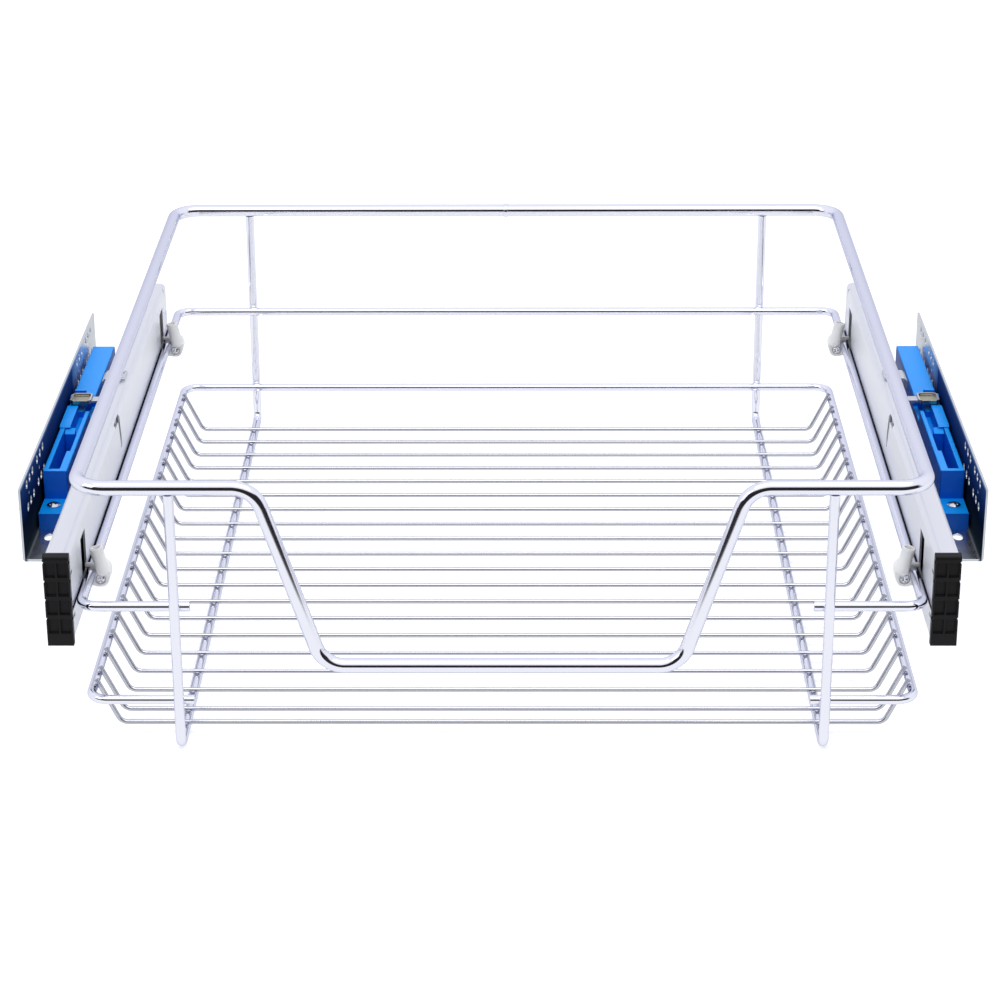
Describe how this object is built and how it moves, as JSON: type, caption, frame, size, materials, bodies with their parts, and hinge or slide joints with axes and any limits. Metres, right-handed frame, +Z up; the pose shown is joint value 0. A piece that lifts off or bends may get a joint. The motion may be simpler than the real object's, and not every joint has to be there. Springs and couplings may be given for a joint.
{
  "type": "pull-out kitchen basket",
  "caption": "Chromed wire pull-out basket with a dipped handle, on ball-bearing side runners with soft-close units and perforated brackets for a kitchen base cabinet.",
  "frame": {"origin": "on the floor plane under the middle of the basket, midway between the front and back top wires", "axes": "+X across the cabinet to the right, +Y into the cabinet, so the basket pulls out along -Y, +Z up"},
  "size_m": [0.468, 0.424, 0.1374],
  "materials": {
    "plated_wire": "bright chrome plate",
    "runner_steel": "zinc plated sheet",
    "blackened_steel": "black oxide",
    "cage_steel": "bare steel",
    "ball_steel": "polished",
    "screw_steel": "zinc plated",
    "black_plastic": "moulded",
    "clear_plastic": "translucent white",
    "blue_plastic": "moulded, satin"
  },
  "bodies": {
    "cabinet_fittings": {"member_rivets": "screw_steel", "unit_screws": "screw_steel", "left_bracket": "runner_steel", "left_fixed_member": "runner_steel", "left_housing": "blue_plastic", "left_cover": "blue_plastic", "left_damper_cylinder": "runner_steel", "left_spring": "cage_steel", "right_bracket": "runner_steel", "right_fixed_member": "runner_steel", "right_housing": "blue_plastic", "right_cover": "blue_plastic", "right_damper_cylinder": "runner_steel", "right_spring": "cage_steel"},
    "basket": {"top_wire_loop": "plated_wire", "middle_wire": "plated_wire", "rim_wire": "plated_wire", "floor_wires": "plated_wire", "wire_clips": "clear_plastic", "clip_screws": "screw_steel", "strap_rivets": "screw_steel", "left_leg_wire": "plated_wire", "left_channel": "runner_steel", "left_end_cap": "black_plastic", "left_strap": "screw_steel", "right_leg_wire": "plated_wire", "right_channel": "runner_steel", "right_end_cap": "black_plastic", "right_strap": "screw_steel"},
    "left_middle_body": {"left_middle_member": "blackened_steel"},
    "left_outer_cage_body": {"left_outer_cage": "cage_steel", "left_outer_balls": "ball_steel"},
    "left_inner_cage_body": {"left_inner_cage": "cage_steel", "left_inner_balls": "ball_steel"},
    "left_claw_body": {"left_claw": "blue_plastic", "left_damper_rod": "ball_steel"},
    "right_middle_body": {"right_middle_member": "blackened_steel"},
    "right_outer_cage_body": {"right_outer_cage": "cage_steel", "right_outer_balls": "ball_steel"},
    "right_inner_cage_body": {"right_inner_cage": "cage_steel", "right_inner_balls": "ball_steel"},
    "right_claw_body": {"right_claw": "blue_plastic", "right_damper_rod": "ball_steel"}
  },
  "joints": [
    {"name": "basket_slide", "type": "slide", "parent": "cabinet_fittings", "child": "basket", "axis": [0, -1, 0], "range_m": [0, 0.35]},
    {"name": "left_middle_slide", "type": "slide", "parent": "cabinet_fittings", "child": "left_middle_body", "axis": [0, -1, 0], "range_m": [0, 0.175]},
    {"name": "left_outer_cage_slide", "type": "slide", "parent": "cabinet_fittings", "child": "left_outer_cage_body", "axis": [0, -1, 0], "range_m": [0, 0.2625]},
    {"name": "left_inner_cage_slide", "type": "slide", "parent": "cabinet_fittings", "child": "left_inner_cage_body", "axis": [0, -1, 0], "range_m": [0, 0.0875]},
    {"name": "left_claw_slide", "type": "slide", "parent": "cabinet_fittings", "child": "left_claw_body", "axis": [0, -1, 0], "range_m": [0, 0.04]},
    {"name": "right_middle_slide", "type": "slide", "parent": "cabinet_fittings", "child": "right_middle_body", "axis": [0, -1, 0], "range_m": [0, 0.175]},
    {"name": "right_outer_cage_slide", "type": "slide", "parent": "cabinet_fittings", "child": "right_outer_cage_body", "axis": [0, -1, 0], "range_m": [0, 0.2625]},
    {"name": "right_inner_cage_slide", "type": "slide", "parent": "cabinet_fittings", "child": "right_inner_cage_body", "axis": [0, -1, 0], "range_m": [0, 0.0875]},
    {"name": "right_claw_slide", "type": "slide", "parent": "cabinet_fittings", "child": "right_claw_body", "axis": [0, -1, 0], "range_m": [0, 0.04]}
  ],
  "couplings": [
    {"joint": "left_middle_slide", "follows": "basket_slide", "ratio": 0.5},
    {"joint": "left_outer_cage_slide", "follows": "basket_slide", "ratio": 0.75},
    {"joint": "left_inner_cage_slide", "follows": "basket_slide", "ratio": 0.25},
    {"joint": "right_middle_slide", "follows": "basket_slide", "ratio": 0.5},
    {"joint": "right_outer_cage_slide", "follows": "basket_slide", "ratio": 0.75},
    {"joint": "right_inner_cage_slide", "follows": "basket_slide", "ratio": 0.25}
  ]
}
